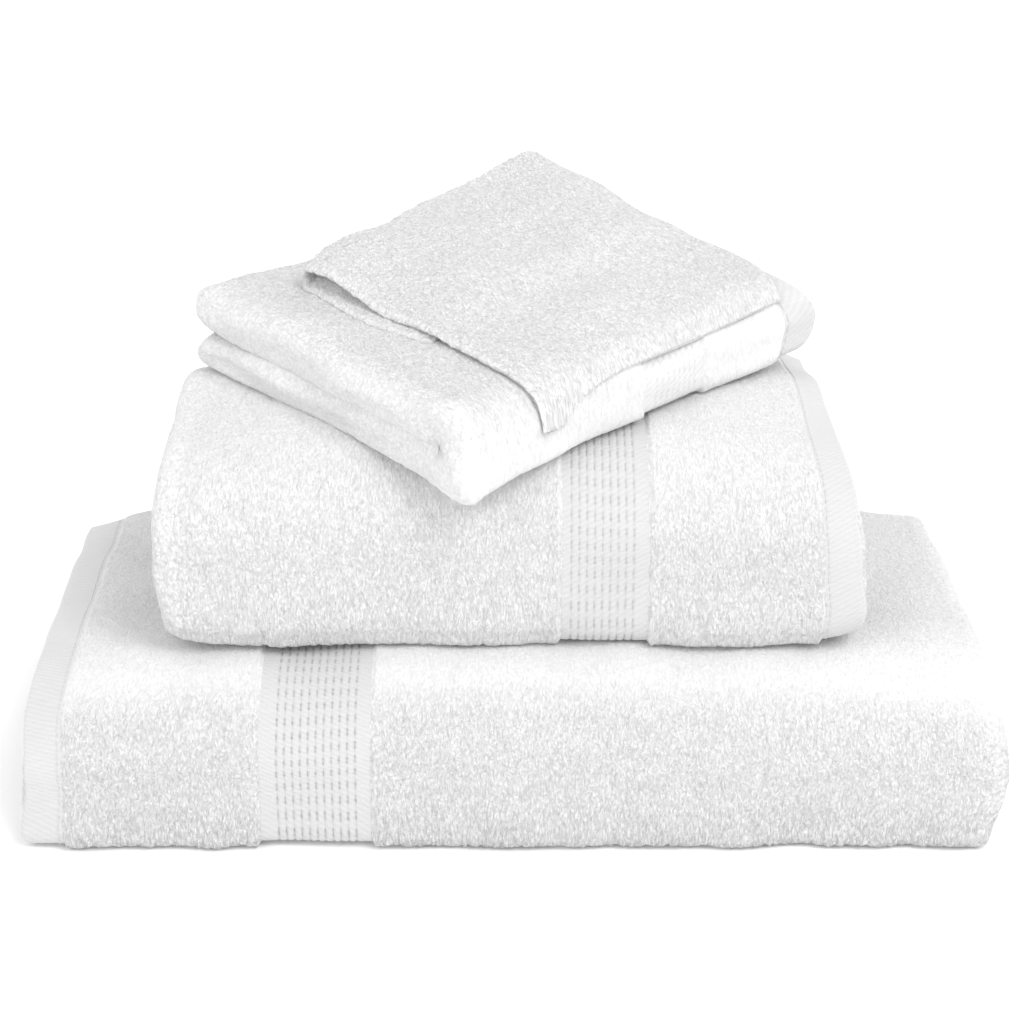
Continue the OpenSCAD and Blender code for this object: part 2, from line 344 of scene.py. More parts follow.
def quarter_strip(w, pitch, marks):
    """Length of a towel folded in half twice, so four layers deep. The end hem is at X = 0."""
    inner = pitch / 2
    outer = 1.5 * pitch
    arm = w - outer - pitch / 2
    return trace((0, outer), 0, [
        *zones(marks, arm), ("turn", outer, -180, 1.4),
        ("go", arm - inner, COARSE), ("turn", inner, -180, 0.8),
        ("go", arm - inner - 2, COARSE), ("turn", inner, 180, 0.8),
        ("go", arm - 4, COARSE),
    ], 1)


def quarter_path(d, h):
    """Width of a towel folded in half twice, with its last bend at the front."""
    b = h / 4
    arm = d - h / 2 - b
    return trace((d - 1.5, h - b / 2), 180, [
        ("go", 2, 0.5), ("go", arm + b - 3.5, FINE), ("turn", 1.5 * b, 180, FINE),
        ("go", 12, MEDIUM), ("go", arm - 12, 2 * MEDIUM), ("turn", b / 2, 180, 1.5),
        ("go", arm, COARSE), ("turn", b / 2, -180, 2.0), ("go", arm + b * 0.7, COARSE),
    ], -1)


def front_openness_and_painted_light(d, h, turns, values):
    """How open the pile of a quarter path's outer layer is, given at shares of its last bend. It also paints
    light:
    lower values make the pile lighter, higher ones darker with stronger crevice shade. Shares below 0 lie on
    its top."""
    start = d - h / 2 - 1.5
    bend = math.pi * 0.375 * h
    return lambda s, t: np.interp((t - start) / bend, turns, values) + 0 * s


SHEET_LOW, SHEET_HIGH = box_mm("bath_sheet_end_hem", "bath_sheet_side_fold", "bath_sheet_field")
SHEET_BORDER = (109, 160)


def bath_sheet_cloth():
    w, d, h = SHEET_HIGH - SHEET_LOW
    pitch = h / 16
    strip = quarter_strip(w, pitch, (TOWEL_HEM, *SHEET_BORDER))
    path = quarter_path(d, h)
    # Painted light: lightest just over the top of the front bend, darker with stronger crevice shade down to
    # the foot
    openness_and_painted_light = front_openness_and_painted_light(d, h, (-0.6, -0.1, 0.08, 0.25, 0.6, 0.85), (0.55, 0.35, 0.35, 0.8, 0.9, 1.5))
    weave = Weave(strip[2][-1], path[2][-1], TOWEL_HEM, SHEET_BORDER,
                  pile=2.42, ribs=11, lead=8.2, openness_and_painted_light=openness_and_painted_light)

    def warp(x, y, z, s, t):
        # The front is square below and slopes down from the top
        y, up = press(y, z - h / 2, h / 2, below=9, above=2)
        z = h / 2 + np.where(up > 0, up * slump(y, h / 2, reach=64), up)
        # Both sides are lower, the right one leans out at the front and the back left corner drops
        z = z * (1 - 0.10 * np.exp(-x / 30) - 0.13 * np.exp(-(w - x) / 26))
        x = x + (3.5 - 6 * smooth((y - 90) / 110)) * np.exp(-(w - x) / 30) * smooth(z / h)
        z = z - 4 * np.exp(-x / 40) * smooth((y - 150) / 60) * z / h
        # The top is crowned and waved
        share = smooth(z / h)
        z = z + share * (0.9 * WAVES.at(x, y) + 1 - 3.0 * ((x - w / 2) / (w / 2)) ** 2)
        # The front is waved, with its foot a little forward
        front = smooth((0.3 * h - y) / (0.3 * h))
        foot = 1.5 * (1 - smooth(z / 14)) * smooth(1 - y / h)
        y = y + front * (0.8 * WAVES.at(x + 300, z + 100) - 0.6) - foot
        y = uneven_back(y, d, s, reach=1.6, offset=40)
        x = uneven_sides(x, w, y, z, offset=0)
        return x, y, np.maximum(z, 0.15)

    return Cloth(strip, path, weave, squared_side(w, pitch, above=3.2), warp, to_world(SHEET_LOW))


TOWEL_LOW, TOWEL_HIGH = box_mm("bath_towel_end_hem", "bath_towel_side_fold", "bath_towel_field")
TOWEL_BORDER = (100, 140)

# Forward lean, in degrees, of the bath towel's top and of all that lies on it
LEAN = 4.6
SLOPE = math.tan(math.radians(LEAN))

# Size of the hand towel in mm, and its own frame, which is turned on the stack and leans with it
HAND_W, HAND_D, HAND_H = 217.0, 198.0, 42.0
HAND_TURN = 41.7
HAND_BORDER = (69, 107)
HAND_ORIGIN = np.array([-18.6, SHEET_LOW[1] + 21, 166.69])


def towel_rise(x, y):
    """How far the bath towel's top stands up under and around the hand towel, in mm, by place in plan."""
    c, s = math.cos(math.radians(HAND_TURN)), math.sin(math.radians(HAND_TURN))
    x, y = x - HAND_ORIGIN[0], y - HAND_ORIGIN[1]
    hx, hy = c * x + s * y, c * y - s * x
    return 5.5 * smooth((hx + hy - 8) / 70) * (1 - smooth(np.maximum(-hx, -hy) / 45))


def bath_towel_cloth():
    w, d, back_h = TOWEL_HIGH - TOWEL_LOW
    h = (back_h - d * SLOPE) / (1 - SLOPE / 2)
    pitch = h / 16
    strip = quarter_strip(w, pitch, (TOWEL_HEM, *TOWEL_BORDER))
    path = quarter_path(d, h)
    middle = d + 0.4 * h
    creases = (("s", middle - 6, 0.7), ("t", w - 48, 0.6), ("t", w - 150, 0.35))
    # Painted light: lighter over the top of the front bend, darker with stronger crevice shade lower down
    openness_and_painted_light = front_openness_and_painted_light(d, h, (-0.3, 0.1, 0.4, 1), (0.5, 0.5, 0.75, 0.9))
    weave = Weave(strip[2][-1], path[2][-1], TOWEL_HEM, TOWEL_BORDER,
                  pile=pitch / 2 - 0.1, ribs=9, lead=7, openness_and_painted_light=openness_and_painted_light, creases=creases)

    def warp(x, y, z, s, t):
        # The front is square below, slopes down from the top, and the top rises towards the back
        y, up = press(y, z - h / 2, h / 2, below=6, above=2.4)
        z = h / 2 + np.where(up > 0, up * slump(y, h / 2, reach=52), up)
        z = z * (1 + np.maximum(0, y - h / 2) * SLOPE / h)
        # The hem side draws in towards its top, and both sides are lower
        share = smooth(z / h)
        right, left = np.exp(-x / 36), np.exp(-(w - x) / 36)
        drawn_in = share * z / h * (6 + 6 * smooth(y / 130)) * right
        x = x + drawn_in + (2.5 - 2.5 * share * smooth(y / 80)) * left
        z = z * (1 - 0.03 * left - 0.04 * right)
        # The top is waved, swells round the hand towel and falls away at its back corners
        z = z + share * (0.7 * WAVES.at(x + 500, y) + towel_rise(w - x + TOWEL_LOW[0], y + TOWEL_LOW[1]))
        z = z - share * 26 * smooth((y - 98) / 78) * (np.exp(-x / 60) + np.exp(-(w - x) / 60))
        # The underside settles on the bath sheet
        low = 1 - smooth(z / (0.5 * h))
        z = z - low * (1.6 + 0.6 * np.clip((y - 10) / 100, 0, 1))
        # The front is waved and bowed, with its lower corners lifted
        front = smooth((0.35 * h - y) / (0.35 * h))
        bow = ((x - w / 2) / (w / 2)) ** 2
        y = y + front * (1.0 * WAVES.at(x + 900, z + 100) - 3.5 * bow - 0.5)
        corner = low * (np.exp(-(w - x) / 14) + np.exp(-x / 14))
        z = z + 9 * corner * smooth((60 - y) / 60)
        y = uneven_back(y, d, s, reach=1.6, offset=700)
        x = uneven_sides(x, w, y, z, offset=300)
        return w - x, y, z

    return Cloth(strip, path, weave, squared_side(w, pitch, above=2.8), warp, to_world(TOWEL_LOW))


def hand_rise(x, y):
    """How far the hand towel's top stands above its CAD top, in mm, by place in its own frame.
    It is crowned, swells under the washcloth's right and falls behind it."""
    crown = smooth(x / 60) * smooth((HAND_W + 20 - x) / 70) * smooth(y / 70)
    behind = smooth((y - 140) / 62)
    fall = (1.7 + 3.6 * smooth((x - 14) / 30) + 2 * bump(x - 40, 9)) * behind
    fall = fall + 6 * smooth((x - 80) / 60) * smooth((y - 162) / 24)
    swell = 6 * smooth((x - 98) / 100) * smooth((y - 93) / 70) * (1 - smooth((y - 160) / 20))
    return 3.5 * crown + 0.9 * WAVES.at(x + 200, y + 500) - fall + swell


def hand_towel_cloth():
    w, d, h = HAND_W, HAND_D, HAND_H
    pitch = h / 6
    nose = pitch * 1.5
    arm = w - pitch
    marks = (TOWEL_HEM, *HAND_BORDER)
    strip = trace((w, pitch), 180, [
        *zones(marks, arm), ("turn", pitch, 180, 1.0),
        ("go", arm - pitch / 2, COARSE), ("turn", pitch / 2, 180, 1.2), ("go", arm - pitch, COARSE),
    ], -1)
    path = trace((d, 0.75 * h), 180, [
        ("go", 2, 0.5), ("go", d - h / 2 - 2, FINE), ("turn", h / 4, 180, FINE), ("go", 30, FINE),
        ("go", d - h / 2 - 34, 2.0),
    ], -1)
    half_t = d - h / 2

    # Painted light as well as relief: the right end and front bend lightest, the noses less, the top darker
    def openness_and_painted_light(s, t):
        top = 1 - smooth((t - half_t + 6) / 30)
        on_nose = smooth((s - arm) / 8)
        return 0.32 + (0.45 * top * (1 - on_nose) + 0.18 * on_nose) * smooth((s - 100) / 40)

    weave = Weave(strip[2][-1], path[2][-1], TOWEL_HEM, HAND_BORDER,
                  pile=pitch / 2 - 0.15, ribs=8, lead=6, openness_and_painted_light=openness_and_painted_light)

    def square(x, depth, s, t):
        """Fills out the two noses, which press on each other in front and part towards the back.
        Flattens the underside."""
        outward = 2.4 + 2.6 * smooth((t - half_t) / 14)
        from_back = np.minimum(t, path[2][-1] - t)
        inward = 8 - 5.8 * np.exp(-((from_back / 75) ** 2))
        return press(x, depth, nose, below=inward, above=outward)

    def warp(x, y, z, s, t):
        # The front bend is square below
        y, up = press(y, z - h / 2, h / 2, below=6, above=2.3)
        z = h / 2 + up
        # The crease between the noses is shallow at the front corner
        pit = 0.85 * bump(y - h / 2, 5) * bump(z - h / 2, 4) * smooth((16 - x) / 8)
        x = x + (1 - x) * pit
        # The noses bulge towards the back, the lower one more
        nose_share = smooth((16 - x) / 16)
        lower = 1 - smooth((z - 12) / 16)
        x = x - nose_share * ((4.0 + 2.5 * lower) * smooth((y - 60) / 140) + 0.9 * WAVES.at(y + 90, z * 4))
        # The far end swells out at half its height
        far_end = smooth((x - w + 30) / 30)
        x = x + far_end * (13 * (1 - ((z - h / 2) / (h / 2)) ** 2) - 1.5)
        # The top is lofted, and the underside rests on the bath towel's rise
        z = z + z / h * hand_rise(x, y)
        low = 1 - smooth(z / (0.5 * h))
        z = z + low * (5 * smooth((x + y - 8) / 70) - 1.0)
        y = y + smooth((24 - y) / 24) * (0.8 * WAVES.at(x, z * 3) - 0.5)
        y = uneven_back(y, d, s, reach=1.5, offset=300)
        z = z - 6 * far_end * smooth((y - 40) / 120)
        return x, y, z

    return Cloth(strip, path, weave, square, warp, to_world(HAND_ORIGIN, LEAN, HAND_TURN))


# Corners of the washcloth on the hand towel, in the hand towel's frame: tip, right, left and back
WASH_CORNERS = np.array([[41.0, 2.5], [200.0, 3.5], [32.0, 162.0], [204.0, 186.0]])

# Width, depth of the upper and of the lower leaf, and thickness of a leaf, in mm
WASH_W, WASH_D, WASH_LOWER_D, LEAF_T = 158.0, 170.0, 100.0, 4.6
GAP = 0.4
WASH_HEM = 8.0

# How far the fold piece reaches past the bend into each leaf, in mm
FOLD_RUN = 12.0


def wash_to_world(points):
    """Carries points in mm from the washcloth's own rectangle to the shared frame, in mm."""
    a, b = points[:, :1] / WASH_W, points[:, 1:2] / WASH_D
    tip, right, left, back = WASH_CORNERS
    flat = (1 - a) * (1 - b) * tip + a * (1 - b) * right + (1 - a) * b * left + a * b * back
    return to_world(HAND_ORIGIN, LEAN, HAND_TURN)(np.concatenate([flat, points[:, 2:]], 1))


def pinch(t, width):
    """Share of its thickness that a washcloth leaf keeps, less where its two layers meet in the hem."""
    return 0.4 + 0.6 * smooth(np.minimum(t, width - t) / 7)


class WashWeave:
    """Heights of the washcloth's faces: terry inside narrow hems."""

    def __init__(self, length, width):
        self.length, self.width = length, width

    def openness_and_painted_light(self, s, t):
        return 0.8 + 0 * s

    def faces(self, s, t):
        side = np.minimum(np.minimum(t, self.width - t), np.minimum(s, self.length - s))
        soft = 0.6 + 0.4 * smooth((side - WASH_HEM) / 2)
        edge = np.sqrt(np.clip(side / 1.3, 0.02, 1))
        relief = 0.18 * CLUMPS.at(s + 900, t) + 0.15 * LOOPS.at(s + 900, t) + 0.10 * ROLLS.at(s + 900, t)
        inner = (-0.75 - 0.35 * soft) * edge * pinch(t, self.width)
        return (0.8 + 0.35 * soft + relief * (0.3 + 0.7 * soft)) * edge, inner


def washcloth_cloth():
    pitch = LEAF_T / 2
    floor = HAND_H + GAP
    radius = (LEAF_T + GAP) / 2
    low = floor + LEAF_T / 2
    strip = trace((WASH_W, pitch / 2), 180, [
        ("go", WASH_W - pitch, FINE), ("turn", pitch / 2, 180, 0.5), ("go", WASH_W - pitch - 1, MEDIUM),
    ], -1)
    arm = WASH_D - radius - LEAF_T / 2
    path = trace((0, low + 2 * radius), 0, [
        ("go", WASH_HEM, 0.8), ("go", arm - WASH_HEM - FOLD_RUN, FINE), ("go", FOLD_RUN, FINE),
        ("turn", radius, -180, 0.6), ("go", FOLD_RUN, FINE),
        ("go", WASH_LOWER_D - radius - LEAF_T / 2 - FOLD_RUN - WASH_HEM, MEDIUM), ("go", WASH_HEM, 0.8),
    ], 1)
    level = np.clip((path[0][:, 1] - low) / (2 * radius), 0, 1)
    lower_start = WASH_D - WASH_LOWER_D

    def warp(x, y, z, s, t):
        # The lower leaf shows a little past the upper one at the left
        upper = np.interp(t, path[2], level)
        x = x - (1 - upper) * 7 * bump(y - 112, 42) * np.exp(-np.maximum(x, 0) / 30)
        # Both leaves follow the hand towel's top, and the upper one its front bend
        a = x / WASH_W
        hx, hy = x + 38, y * 0.97 + 3.5 - 4.5 * bump(a, 0.2)
        front = 1 - np.clip(hy / HAND_H * 2, 0, 1)
        fall = HAND_H / 2 * (1 - np.maximum(1 - front**2.3, 0) ** (1 / 2.3))
        z = z + hand_rise(hx, np.minimum(hy, 160)) * smooth((y + 5) / 50) - upper * fall
        # In front of the lower leaf the upper one comes down on the hand towel
        onto_lower = smooth((y - lower_start + 14) / 24)
        z = z - upper * (1 - onto_lower) * (LEAF_T + GAP)
        # The tip is drawn forward and the right edge bulges
        y = y - upper * 6 * bump(a, 0.2) * smooth((30 - y) / 30)
        right = smooth((x - 90) / 60)
        x = x + 8 * smooth(a) * bump(y - 42, 42)
        # The edges droop, and both leaves press down at the left
        side = np.minimum(np.minimum(x, WASH_W - x), np.minimum(t, path[2][-1] - t))
        z = z - 1.3 * (1 - smooth(side / 9))
        lip = np.exp(-np.maximum(x, 0) / 12)
        over = smooth((y - lower_start + 4) / 10)
        z = z + lip * upper * over * (1.4 * smooth((y - 105) / 50) - 2.6)
        z = z + 1.5 * np.exp(-np.maximum(x, 0) / 4) * upper * bump(y - 28, 26)
        z = z - lip * (1 - upper) * 1.8
        # The upper leaf puffs up and lifts towards the fold, with waves along its right
        puff = smooth((y - 5) / 140) * smooth((x + 20) / 120)
        z = z + (0.15 + 0.85 * upper) * 8 * puff
        lift = (4 * (1 - smooth(x / 60)) + 2.5 * smooth((x - 60) / 100)) * smooth((hy - 90) / 80)
        inside = 0.6 * smooth((x - 2) / 8) * (1 - smooth((x - 60) / 60))
        z = z + lift * (0.15 + 0.85 * np.maximum(upper, inside))
        z = z + right * (4 * bump(y - 22, 28) - 6 * bump(y - 142, 28)) * (0.4 + 0.6 * upper)
        z = z + upper * 0.8 * WAVES.at(x + 40, y + 900) * smooth((y - 5) / 40)
        return x, y, z

    weave = WashWeave(strip[2][-1], path[2][-1])

    def square(x, depth, s, t):
        """Thins the leaf towards its hems and its two sides."""
        side = 0.55 + 0.45 * smooth((np.minimum(x, WASH_W - x) + 2) / 9)
        return x, depth * pinch(t, weave.width) * side

    return Cloth(strip, path, weave, square, warp, wash_to_world), arm, radius


# ---------------------------------------------------------------- stitches

def stitch_row(name, cloth, places, height, length, width, along_t=True):
    """One mesh of many small rounded stitches lying on a cloth, centred on places of (s, t) in mm."""
    rings, sides = 5, 6
    u = np.linspace(-1, 1, rings)
    swell = np.sqrt(1 - 0.92 * u**2)
    angle = 2 * np.pi * np.arange(sides) / sides
    run = np.repeat(u * length / 2, sides)
    across = (swell[:, None] * np.cos(angle) * width / 2).ravel()
    up = (swell[:, None] * np.sin(angle) * width / 2).ravel()
    k = np.arange(rings - 1)[:, None] * sides
    m = np.arange(sides)
    n = (m + 1) % sides
    body = rows(k + m, k + n, k + sides + n, k + sides + m)
    points, quads, uvs = [], [], []
    count = rings * sides
    caps = np.array([[0, 1, 2, 3], [0, 3, 4, 5]])
    caps = np.concatenate([caps, caps[:, ::-1] + count - sides])
    for index, (s0, t0) in enumerate(places):
        s = s0 + (across if along_t else run)
        t = t0 + (run if along_t else across)
        points.append(cloth.locate(s, t, height + up))
        quads.append(np.concatenate([body, caps]) + index * count)
        uvs.append(np.stack([s, t], 1) * MM)
    quads = np.concatenate(quads)
    return new_mesh(name, np.concatenate(points), quads, len(quads), np.concatenate(uvs))


# ---------------------------------------------------------------- materials

def link(tree, output, target):
    tree.links.new(output, target)


def node(tree, kind, **values):
    n = tree.nodes.new(kind)
    for name, value in values.items():
        setattr(n, name, value)
    return n


def calc(tree, operation, *operands):
    """Math node on sockets or numbers."""
    n = node(tree, "ShaderNodeMath", operation=operation)
    for k, value in enumerate(operands):
        if isinstance(value, (int, float)):
            n.inputs[k].default_value = value
        else:
            link(tree, value, n.inputs[k])
    return n.outputs[0]


def cloth_coordinates(tree, s_scale=1.0, t_scale=1.0, turn=0.0):
    uv = node(tree, "ShaderNodeUVMap", uv_map="Cloth")
    mapping = node(tree, "ShaderNodeMapping")
    mapping.inputs["Scale"].default_value = (s_scale, t_scale, 1)
    mapping.inputs["Rotation"].default_value = (0, 0, turn)
    link(tree, uv.outputs["UV"], mapping.inputs["Vector"])
    return mapping.outputs["Vector"]


def noise(tree, vector, scale=1.0, detail=2.0, distortion=0.0):
    n = node(tree, "ShaderNodeTexNoise")
    n.inputs["Scale"].default_value = scale
    n.inputs["Detail"].default_value = detail
    n.inputs["Distortion"].default_value = distortion
    link(tree, vector, n.inputs["Vector"])
    return n.outputs["Fac"]


def cotton(name, stops, pattern, depth, sheen=0.3):
    """White cotton whose colour and bump follow a height pattern. Stops are pairs of height and grey.
    Lower heights get darker greys: painted shade in the hollows of pile and weave. Depth is the bump's, in
    mm."""
    m = bpy.data.materials.new(name)
    m.use_nodes = True
    tree = m.node_tree
    shader = tree.nodes["Principled BSDF"]
    shader.inputs["Roughness"].default_value = 1.0
    shader.inputs["Specular IOR Level"].default_value = 0.1
    shader.inputs["Sheen Weight"].default_value = sheen
    shader.inputs["Sheen Roughness"].default_value = 0.6
    height = pattern(tree)
    ramp = node(tree, "ShaderNodeValToRGB")
    elements = ramp.color_ramp.elements
    while len(elements) < len(stops):
        elements.new(0.5)
    for element, (place, grey) in zip(elements, stops):
        element.position, element.color = place, (grey, grey, grey * 1.003, 1)
    # Painted shade: the ramp makes the lower places of the pattern darker
    link(tree, height, ramp.inputs["Fac"])
    link(tree, ramp.outputs["Color"], shader.inputs["Base Color"])
    relief = node(tree, "ShaderNodeBump")
    relief.inputs["Distance"].default_value = depth * MM
    link(tree, height, relief.inputs["Height"])
    link(tree, relief.outputs["Normal"], shader.inputs["Normal"])
    return m


def terry_pattern(tree):
    """Curly loops, longer across the width than along the length, with painted shade in the crevices between
    them.
    Where the pile is less open the loops stand out less, and its grey is lifted lighter: painted light."""
    worms = noise(tree, cloth_coordinates(tree, 800, 480), distortion=2.0, detail=3.0)
    ridge = calc(tree, "ABSOLUTE", calc(tree, "SUBTRACT", worms, 0.5))
    curl = calc(tree, "SUBTRACT", 1.0, calc(tree, "MULTIPLY", ridge, 5.0))
    cells = node(tree, "ShaderNodeTexVoronoi", feature="F1")
    cells.inputs["Scale"].default_value = 1.0
    link(tree, cloth_coordinates(tree, 900, 560), cells.inputs["Vector"])
    dome = calc(tree, "SUBTRACT", 1.0, cells.outputs["Distance"])
    body = calc(tree, "MULTIPLY_ADD", curl, 0.35, calc(tree, "MULTIPLY", dome, 0.6))
    fibres = noise(tree, cloth_coordinates(tree, 2600, 1500))
    loops = calc(tree, "MULTIPLY_ADD", calc(tree, "SUBTRACT", fibres, 0.5), 0.25, body)
    openness_and_painted_light = node(tree, "ShaderNodeAttribute", attribute_name="Openness_and_painted_light").outputs["Fac"]
    # Painted light: where the pile is less open its grey is lifted lighter and its crevices take less
    # painted shade
    painted_light_lift = calc(tree, "MAXIMUM", calc(tree, "SUBTRACT", 0.5, openness_and_painted_light), 0.0)
    middle = calc(tree, "MULTIPLY_ADD", painted_light_lift, 0.25, 0.5)
    return calc(tree, "MULTIPLY_ADD", calc(tree, "SUBTRACT", loops, 0.5), openness_and_painted_light, middle)


def twill(tree, scale=1.0):
    """Fine slanting ridges of a flat weave, about 0.4 to 1, with fibre grain."""
    wave = node(tree, "ShaderNodeTexWave", wave_profile="SIN")
    wave.inputs["Scale"].default_value = 170.0 * scale
    wave.inputs["Distortion"].default_value = 1.2
    wave.inputs["Detail Scale"].default_value = 2.0
    link(tree, cloth_coordinates(tree, turn=math.radians(68)), wave.inputs["Vector"])
    grain = noise(tree, cloth_coordinates(tree, 1300, 1300))
    weft = noise(tree, cloth_coordinates(tree, 90, 1100), detail=1.0)
    mixed = calc(tree, "MULTIPLY_ADD", wave.outputs["Fac"], 0.16, calc(tree, "MULTIPLY", grain, 0.35))
    return calc(tree, "MULTIPLY_ADD", weft, 0.3, calc(tree, "ADD", mixed, 0.22))


def border_pattern(first, lines, strength):
    """Twill with furrows every RIB_PITCH from the first, each with a row of dashes, painted darker: painted
    shade in the furrows.
    """
    def pattern(tree):
        uv = node(tree, "ShaderNodeSeparateXYZ")
        link(tree, cloth_coordinates(tree, 1 / MM, 1 / MM), uv.inputs[0])
        u = calc(tree, "DIVIDE", calc(tree, "SUBTRACT", uv.outputs["X"], first), RIB_PITCH)
        line = calc(tree, "ROUND", u)
        off = calc(tree, "MULTIPLY", calc(tree, "ABSOLUTE", calc(tree, "SUBTRACT", u, line)), RIB_PITCH)
        furrow = calc(tree, "SUBTRACT", 1.0, calc(tree, "DIVIDE", off, 0.62))
        furrow = calc(tree, "MAXIMUM", furrow, 0.0)
        inside = calc(tree, "COMPARE", line, (lines - 1) / 2, lines / 2)
        turn = calc(tree, "FLOORED_MODULO", calc(tree, "DIVIDE", uv.outputs["Y"], DASH_PITCH), 1.0)
        away = calc(tree, "ABSOLUTE", calc(tree, "SUBTRACT", turn, DASH_SHARE / 2 + 0.07))
        slope = calc(tree, "MULTIPLY", calc(tree, "SUBTRACT", 0.34, away), 8.0)
        dash = calc(tree, "SMOOTH_MIN", slope, 1.0, 0.1)
        dash = calc(tree, "MAXIMUM", dash, 0.0)
        # Painted shade in the furrows and their dashes, scaled by strength
        painted_furrow_shade = calc(tree, "MULTIPLY_ADD", dash, 0.3 * strength, 0.14 * strength)
        cut = calc(tree, "MULTIPLY", calc(tree, "MULTIPLY", furrow, painted_furrow_shade), inside)
        return calc(tree, "SUBTRACT", twill(tree), cut)
    return pattern


# Pairs of pattern height and grey
TERRY_STOPS = ((0.05, 0.56), (0.5, 0.71), (0.75, 0.86))
PLAIN_STOPS = ((0.05, 0.28), (0.35, 0.5), (0.75, 0.59))
# A lighter copy of the plain greys for the hand towel's border on its brightly lit front: painted light
PAINTED_LIGHT_BORDER_STOPS = ((0.05, 0.36), (0.35, 0.58), (0.75, 0.71))

TERRY = cotton("terry_cotton", TERRY_STOPS, terry_pattern, depth=1.3)
TWILL = cotton("twill_cotton", PLAIN_STOPS, twill, depth=0.35)
THREAD = cotton("sewing_cotton", PLAIN_STOPS, lambda tree: twill(tree, scale=3.0), depth=0.1)


def border_material(name, weave, strength, stops):
    pattern = border_pattern(weave.border[0] + weave.lead, weave.ribs, strength)
    return cotton(name, stops, pattern, depth=0.6)


# ---------------------------------------------------------------- pieces

def finish_piece(piece, body, material, slot_name, *nodes):
    piece.data.materials.append(material)
    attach(piece, body)
    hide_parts(*nodes)
    return piece


def hem_stitches(body, cloth, s0, t_end):
    """The row of stitches that holds an end hem down."""
    pitch, margin, stagger = 3.1, 4, 0.15
    count = int((t_end - 2 * margin) / pitch)
    places = [(s0 + stagger * (k % 2), margin + pitch * k) for k in range(count)]
    height = cloth.weave.hem_top + 0.05
    row = stitch_row(body + "_hem_stitches", cloth, places, height, length=2.3, width=0.8)
    return finish_piece(row, body, THREAD, "hem_thread", body + "_hem_thread")


def build_towel(body, cloth, stitched_to, furrow_shade_strength, hidden, border_stops=PLAIN_STOPS):
    """Pieces of one of the three larger towels, by weave zone. Hidden nodes go with the main cloth.
    The hem is stitched from its first edge to stitched_to, in mm. What is past that can't be seen."""
    weave = cloth.weave
    a, b = weave.border
    hem = finish_piece(cloth.piece(body + "_end_hem_cloth", 0, weave.hem), body, TWILL,
                       "hem_weave", body + "_end_hem")
    panel = finish_piece(cloth.piece(body + "_end_terry_cloth", weave.hem, a), body, TERRY,
                         "terry", body + "_end_terry")
    border = finish_piece(cloth.piece(body + "_border_cloth", a, b), body,
                          border_material(body + "_border_cotton", weave, furrow_shade_strength, border_stops),
                          "border_weave", body + "_border")
    field = finish_piece(cloth.piece(body + "_main_cloth", b, END), body, TERRY, "terry",
                         *(body + "_" + n for n in hidden))
    stitches = hem_stitches(body, cloth, weave.hem - STITCH_INSET, stitched_to)


QUARTER_HIDDEN = ("field", "side_fold", "back_fold", "inner_folds")
sheet = bath_sheet_cloth()
build_towel("bath_sheet", sheet, stitched_to=330, furrow_shade_strength=1.0, hidden=QUARTER_HIDDEN)
towel = bath_towel_cloth()
build_towel("bath_towel", towel, stitched_to=300, furrow_shade_strength=0.75, hidden=QUARTER_HIDDEN)
hand = hand_towel_cloth()
# The hand towel's border gets lighter greys and fainter furrow shade: painted light on its bright front
build_towel("hand_towel", hand, stitched_to=hand.weave.width, furrow_shade_strength=0.3,
            hidden=("field", "upper_nose", "lower_nose", "upper_folds", "lower_folds"),
            border_stops=PAINTED_LIGHT_BORDER_STOPS)


def fold_turn(cloth, start, end):
    """Points 2 mm below and above the middle of the fold, between its lower and upper leaves."""
    reach = 2 * MM
    right, left = (
        [Vector(cloth.locate(np.array([s]), np.array([t]), 0)[0]) for t in (end, start)]
        for s in (0, WASH_W - LEAF_T / 2)
    )
    middle = (right[0] + right[1] + left[0] + left[1]) / 4
    along = (right[0] + right[1] - left[0] - left[1]).normalized()
    up = right[1] - right[0] + left[1] - left[0]
    up = (up - up.dot(along) * along).normalized()
    return tuple(middle - up * reach), tuple(middle + up * reach)


def build_washcloth():
    cloth, arm, radius = washcloth_cloth()
    width = cloth.weave.width
    start, end = arm - FOLD_RUN, arm + math.pi * radius + FOLD_RUN
    finish_piece(cloth.piece("washcloth_upper_hem_cloth", 0, END, 0, WASH_HEM),
                 "washcloth_leaf", TERRY, "hem_weave", "washcloth_upper_hem")
    finish_piece(cloth.piece("washcloth_upper_leaf_cloth", 0, END, WASH_HEM, start),
                 "washcloth_leaf", TERRY, "terry", "washcloth_upper_leaf")
    fold = cloth.piece("washcloth_fold_cloth", 0, END, start, end)
    fold.data.materials.append(TERRY)
    below, above = fold_turn(cloth, start, end)
    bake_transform(fold)
    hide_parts("washcloth_fold")
    finish_piece(cloth.piece("washcloth_lower_leaf_cloth", 0, END, end, width - WASH_HEM),
                 "washcloth", TERRY, "terry", "washcloth_lower_leaf")
    finish_piece(cloth.piece("washcloth_lower_hem_cloth", 0, END, width - WASH_HEM, END),
                 "washcloth", TERRY, "hem_weave", "washcloth_lower_hem")
    pitch = 2.6
    places = [(3 + pitch * k, WASH_HEM - 1.6) for k in range(int((WASH_W - 8) / pitch))]
    row = stitch_row("washcloth_hem_stitches", cloth, places, height=0.62, length=1.9, width=0.6,
                     along_t=False)
    finish_piece(row, "washcloth_leaf", THREAD, "hem_thread", "washcloth_hem_thread")


build_washcloth()


# ---------------------------------------------------------------- floor, light and camera

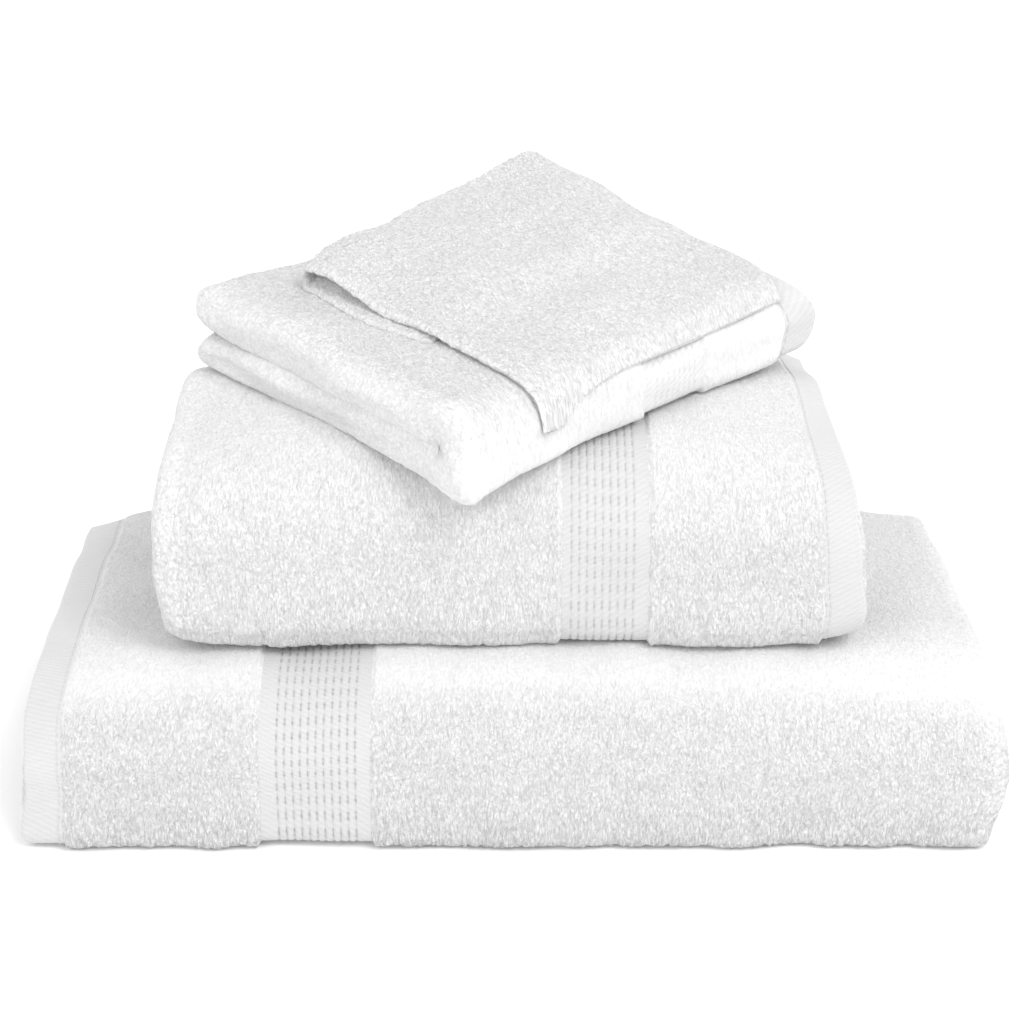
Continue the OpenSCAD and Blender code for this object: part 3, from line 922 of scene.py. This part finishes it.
def floor():
    size = 4.0
    mesh = bpy.data.meshes.new("floor")
    corners = [(-size, -size, 0), (size, -size, 0), (size, size, 0), (-size, size, 0)]
    mesh.from_pydata(corners, [], [(0, 1, 2, 3)])
    o = bpy.data.objects.new("floor", mesh)
    bpy.context.collection.objects.link(o)
    m = bpy.data.materials.new("floor_white")
    m.use_nodes = True
    shader = m.node_tree.nodes["Principled BSDF"]
    shader.inputs["Base Color"].default_value = (0.93, 0.93, 0.93, 1)
    shader.inputs["Roughness"].default_value = 1.0
    shader.inputs["Specular IOR Level"].default_value = 0.0
    shader.inputs["Emission Color"].default_value = (1, 1, 1, 1)
    shader.inputs["Emission Strength"].default_value = 0.06
    mesh.materials.append(m)


def area_light(name, place, target, size, power):
    """Soft square light in metres and watts, aimed at the target."""
    data = bpy.data.lights.new(name, "AREA")
    data.size, data.energy = size, power
    o = bpy.data.objects.new(name, data)
    bpy.context.collection.objects.link(o)
    way = Vector(place) - Vector(target)
    o.matrix_world = Matrix.Translation(place) @ way.to_track_quat("Z", "Y").to_matrix().to_4x4()


def studio():
    world = bpy.data.worlds.new("studio")
    world.use_nodes = True
    world.node_tree.nodes["Background"].inputs["Color"].default_value = (1, 1, 1, 1)
    world.node_tree.nodes["Background"].inputs["Strength"].default_value = 0.98
    bpy.context.scene.world = world
    area_light("key", place=(1.3, -1.75, 2.5), target=(0, 0, 0.1), size=1.3, power=47)
    area_light("fill", place=(-1.9, -2.0, 2.0), target=(0, 0, 0.1), size=1.6, power=22)
    area_light("rim", place=(2.2, 0.9, 1.3), target=(0, 0, 0.15), size=1.4, power=8)


def camera():
    data = bpy.data.cameras.new("camera")
    data.lens, data.sensor_width = LENS_MM, SENSOR_MM
    o = bpy.data.objects.new("camera", data)
    o.location = (0, SHEET_LOW[1] * MM - CAMERA_BEFORE_NOSE, CAMERA_HEIGHT)
    o.rotation_euler = (math.radians(90 - CAMERA_PITCH), 0, 0)
    bpy.context.collection.objects.link(o)
    bpy.context.scene.camera = o


floor()
studio()
camera()
bpy.context.scene.view_settings.view_transform = "Standard"
